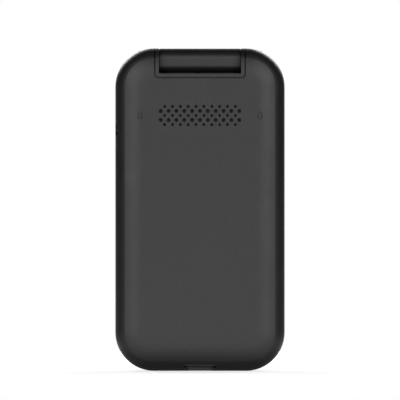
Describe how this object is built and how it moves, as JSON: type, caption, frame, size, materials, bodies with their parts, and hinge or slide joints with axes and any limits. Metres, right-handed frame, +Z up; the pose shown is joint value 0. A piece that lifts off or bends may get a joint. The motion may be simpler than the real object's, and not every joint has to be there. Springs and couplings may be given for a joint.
{
  "type": "flip phone",
  "caption": "Clamshell phone with a keypad base, a hinged lid with inner and outer displays, a clip-fit back cover with a speaker grille, and a removable battery.",
  "frame": {"origin": "centre of the closed phone's footprint, at the lower end", "axes": "+Z up to the hinge, +Y out of the lid, -Y out of the back, +X to the right as seen from the back"},
  "size_m": [0.057, 0.0192, 0.1085],
  "materials": {
    "cover_plastic": "fine matt grain",
    "lid_plastic": "fine matt grain",
    "housing_plastic": "fine matt grain",
    "key_plastic": "satin",
    "ring_plastic": "satin",
    "pad_rubber": "matt",
    "key_silicone": "matt",
    "screw_steel": "plated",
    "can_steel": "tinned",
    "hinge_steel": "turned",
    "board_laminate": "solder resist",
    "dome_film": "clear film",
    "battery_wrap": "printed sleeve, blank",
    "contact_brass": "gold plated",
    "socket_plastic": "moulded",
    "speaker_frame": "moulded",
    "mesh_cloth": "fine woven cloth",
    "mesh_steel": "fine woven wire",
    "flex_film": "polyimide film",
    "window_acrylic": "polished",
    "display_glass": "polished",
    "camera_body": "moulded",
    "trim_aluminium": "anodised",
    "flash_diffuser": "clear, faceted"
  },
  "bodies": {
    "base": {"rear_housing": "housing_plastic", "front_housing": "housing_plastic", "housing_screws": "screw_steel", "main_board": "board_laminate", "shield_cans": "can_steel", "key_dome_film": "dome_film", "keypad_mat": "key_silicone", "battery_contacts": "contact_brass", "sim_reader": "can_steel", "usb_socket": "can_steel", "headphone_jack": "socket_plastic", "loudspeaker": "speaker_frame", "speaker_mesh": "mesh_cloth", "vibration_motor": "can_steel", "microphone": "contact_brass", "hinge_cam": "hinge_steel", "hinge_bush": "hinge_steel", "base_flex": "flex_film"},
    "lid": {"hinge_can": "hinge_steel", "lid_flex": "flex_film", "lid_frame": "housing_plastic", "lid_cover": "lid_plastic", "lid_screws": "screw_steel", "main_window": "window_acrylic", "main_display": "display_glass", "lid_board": "board_laminate", "outer_window": "window_acrylic", "outer_display": "display_glass", "camera_module": "camera_body", "camera_ring": "trim_aluminium", "camera_glass": "window_acrylic", "flash_lens": "flash_diffuser", "earpiece": "speaker_frame", "earpiece_mesh": "mesh_steel", "lid_magnet": "can_steel", "lid_pads": "pad_rubber"},
    "battery_cover": {"battery_cover": "cover_plastic", "cover_pads": "pad_rubber"},
    "battery": {"battery_pack": "battery_wrap"},
    "key_star": {"key_star": "key_plastic"},
    "key_0": {"key_0": "key_plastic"},
    "key_hash": {"key_hash": "key_plastic"},
    "key_7": {"key_7": "key_plastic"},
    "key_8": {"key_8": "key_plastic"},
    "key_9": {"key_9": "key_plastic"},
    "key_4": {"key_4": "key_plastic"},
    "key_5": {"key_5": "key_plastic"},
    "key_6": {"key_6": "key_plastic"},
    "key_1": {"key_1": "key_plastic"},
    "key_2": {"key_2": "key_plastic"},
    "key_3": {"key_3": "key_plastic"},
    "key_call": {"key_call": "key_plastic"},
    "key_end": {"key_end": "key_plastic"},
    "key_soft_left": {"key_soft_left": "key_plastic"},
    "key_soft_right": {"key_soft_right": "key_plastic"},
    "nav_ring": {"nav_ring": "ring_plastic"},
    "nav_centre": {"nav_centre": "key_plastic"}
  },
  "joints": [
    {"name": "lid_hinge", "type": "hinge", "parent": "base", "child": "lid", "pos_m": [0, -0.0008, 0.1045], "axis": [1, 0, 0], "range_deg": [0, 155]},
    {"name": "cover_lift", "type": "slide", "parent": "base", "child": "battery_cover", "axis": [0, -1, 0], "range_m": [0, 0.02]},
    {"name": "battery_lift", "type": "slide", "parent": "base", "child": "battery", "axis": [0, -1, 0], "range_m": [0, 0.008]},
    {"name": "key_star_press", "type": "slide", "parent": "base", "child": "key_star", "axis": [0, -1, 0], "range_m": [0, 0.00025], "stiffness_N_per_m": 4000, "springref_m": -0.0001},
    {"name": "key_0_press", "type": "slide", "parent": "base", "child": "key_0", "axis": [0, -1, 0], "range_m": [0, 0.00025], "stiffness_N_per_m": 4000, "springref_m": -0.0001},
    {"name": "key_hash_press", "type": "slide", "parent": "base", "child": "key_hash", "axis": [0, -1, 0], "range_m": [0, 0.00025], "stiffness_N_per_m": 4000, "springref_m": -0.0001},
    {"name": "key_7_press", "type": "slide", "parent": "base", "child": "key_7", "axis": [0, -1, 0], "range_m": [0, 0.00025], "stiffness_N_per_m": 4000, "springref_m": -0.0001},
    {"name": "key_8_press", "type": "slide", "parent": "base", "child": "key_8", "axis": [0, -1, 0], "range_m": [0, 0.00025], "stiffness_N_per_m": 4000, "springref_m": -0.0001},
    {"name": "key_9_press", "type": "slide", "parent": "base", "child": "key_9", "axis": [0, -1, 0], "range_m": [0, 0.00025], "stiffness_N_per_m": 4000, "springref_m": -0.0001},
    {"name": "key_4_press", "type": "slide", "parent": "base", "child": "key_4", "axis": [0, -1, 0], "range_m": [0, 0.00025], "stiffness_N_per_m": 4000, "springref_m": -0.0001},
    {"name": "key_5_press", "type": "slide", "parent": "base", "child": "key_5", "axis": [0, -1, 0], "range_m": [0, 0.00025], "stiffness_N_per_m": 4000, "springref_m": -0.0001},
    {"name": "key_6_press", "type": "slide", "parent": "base", "child": "key_6", "axis": [0, -1, 0], "range_m": [0, 0.00025], "stiffness_N_per_m": 4000, "springref_m": -0.0001},
    {"name": "key_1_press", "type": "slide", "parent": "base", "child": "key_1", "axis": [0, -1, 0], "range_m": [0, 0.00025], "stiffness_N_per_m": 4000, "springref_m": -0.0001},
    {"name": "key_2_press", "type": "slide", "parent": "base", "child": "key_2", "axis": [0, -1, 0], "range_m": [0, 0.00025], "stiffness_N_per_m": 4000, "springref_m": -0.0001},
    {"name": "key_3_press", "type": "slide", "parent": "base", "child": "key_3", "axis": [0, -1, 0], "range_m": [0, 0.00025], "stiffness_N_per_m": 4000, "springref_m": -0.0001},
    {"name": "key_call_press", "type": "slide", "parent": "base", "child": "key_call", "axis": [0, -1, 0], "range_m": [0, 0.00025], "stiffness_N_per_m": 4000, "springref_m": -0.0001},
    {"name": "key_end_press", "type": "slide", "parent": "base", "child": "key_end", "axis": [0, -1, 0], "range_m": [0, 0.00025], "stiffness_N_per_m": 4000, "springref_m": -0.0001},
    {"name": "key_soft_left_press", "type": "slide", "parent": "base", "child": "key_soft_left", "axis": [0, -1, 0], "range_m": [0, 0.00025], "stiffness_N_per_m": 4000, "springref_m": -0.0001},
    {"name": "key_soft_right_press", "type": "slide", "parent": "base", "child": "key_soft_right", "axis": [0, -1, 0], "range_m": [0, 0.00025], "stiffness_N_per_m": 4000, "springref_m": -0.0001},
    {"name": "nav_ring_press", "type": "slide", "parent": "base", "child": "nav_ring", "axis": [0, -1, 0], "range_m": [0, 0.00025], "stiffness_N_per_m": 4000, "springref_m": -0.0001},
    {"name": "nav_centre_press", "type": "slide", "parent": "base", "child": "nav_centre", "axis": [0, -1, 0], "range_m": [0, 0.00025], "stiffness_N_per_m": 4000, "springref_m": -0.0001}
  ],
  "couplings": [
    {"joint": "battery_lift", "follows": "cover_lift", "ratio": 0.4}
  ]
}
